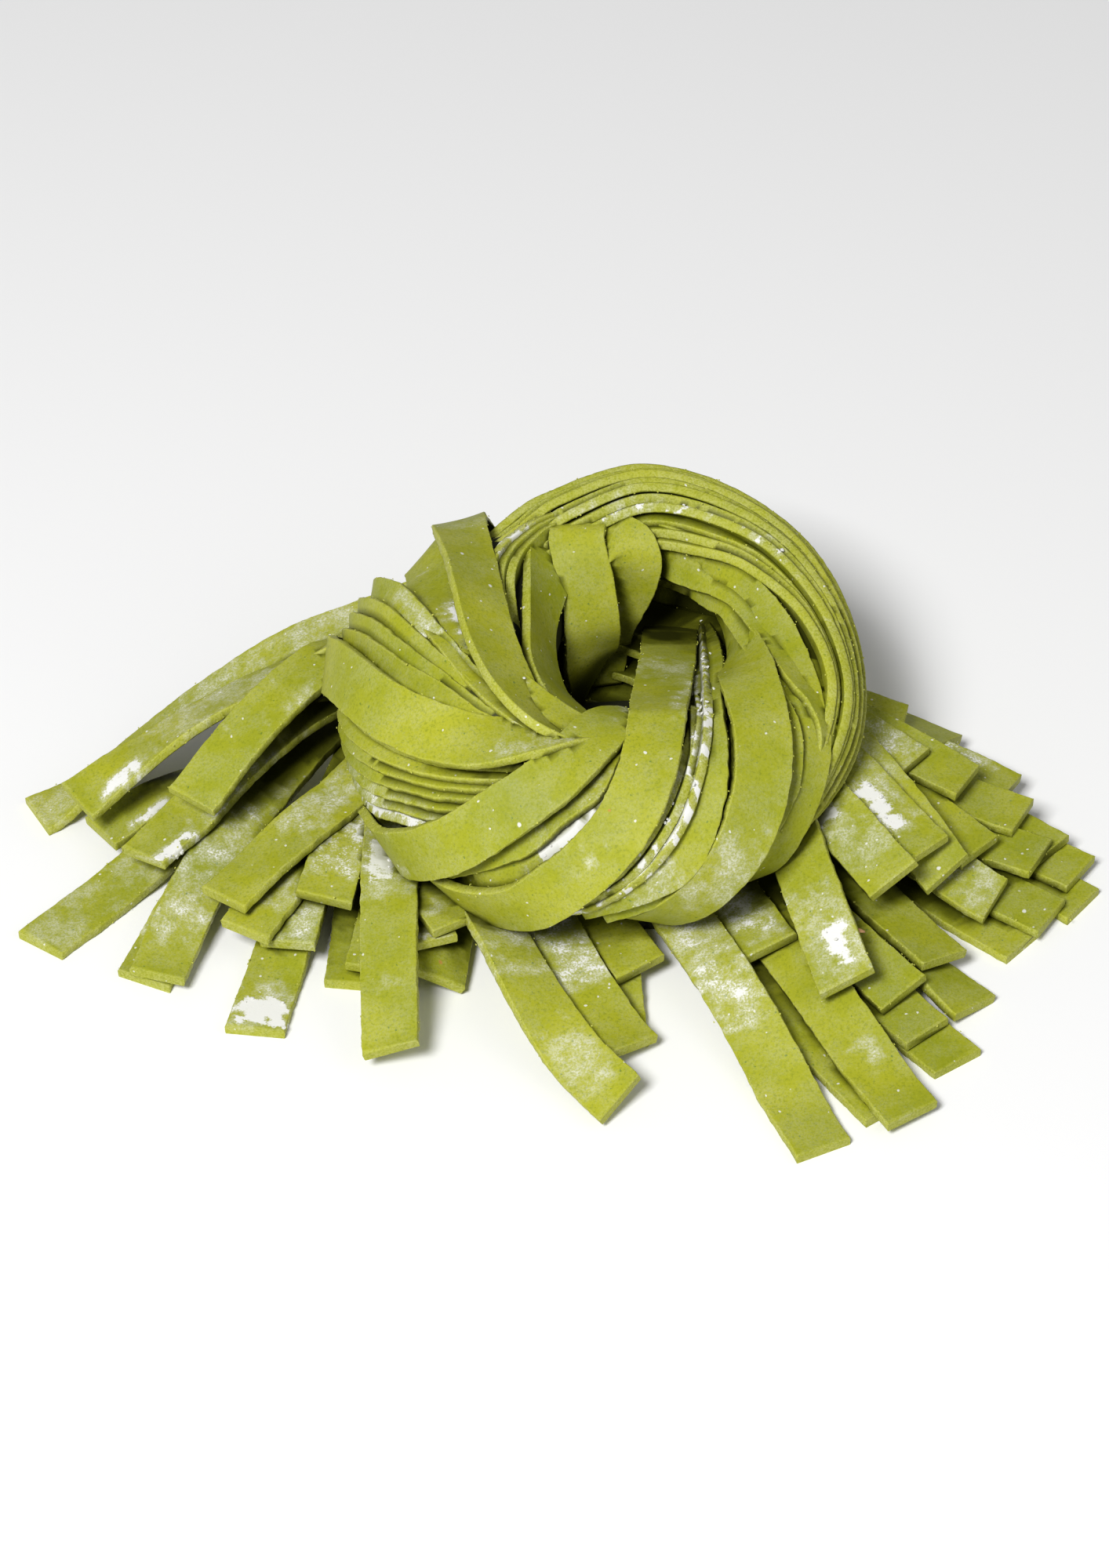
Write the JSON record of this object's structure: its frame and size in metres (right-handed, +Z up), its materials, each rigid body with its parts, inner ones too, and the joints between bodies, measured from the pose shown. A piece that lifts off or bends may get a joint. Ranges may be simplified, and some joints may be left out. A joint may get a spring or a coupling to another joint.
{
  "type": "fresh pasta nest",
  "caption": "A loose knot of fresh green ribbon pasta: ribbons coiled round a small hollow, with their cut ends fanned out over the table and dusted with flour.",
  "frame": {"origin": "under the middle of the nest's bounding box, on the surface it lies on", "axes": "+Z up, +X to the right along the fan of cut ends, which opens towards -Y; the coil is towards +Y"},
  "size_m": [0.1546, 0.1058, 0.0428],
  "materials": {
    "spinach_dough": "matte raw dough with fine green specks, crumbly cut edges and patches of dusted flour"
  },
  "bodies": {
    "root": {"pasta_nest": "spinach_dough"}
  },
  "joints": []
}
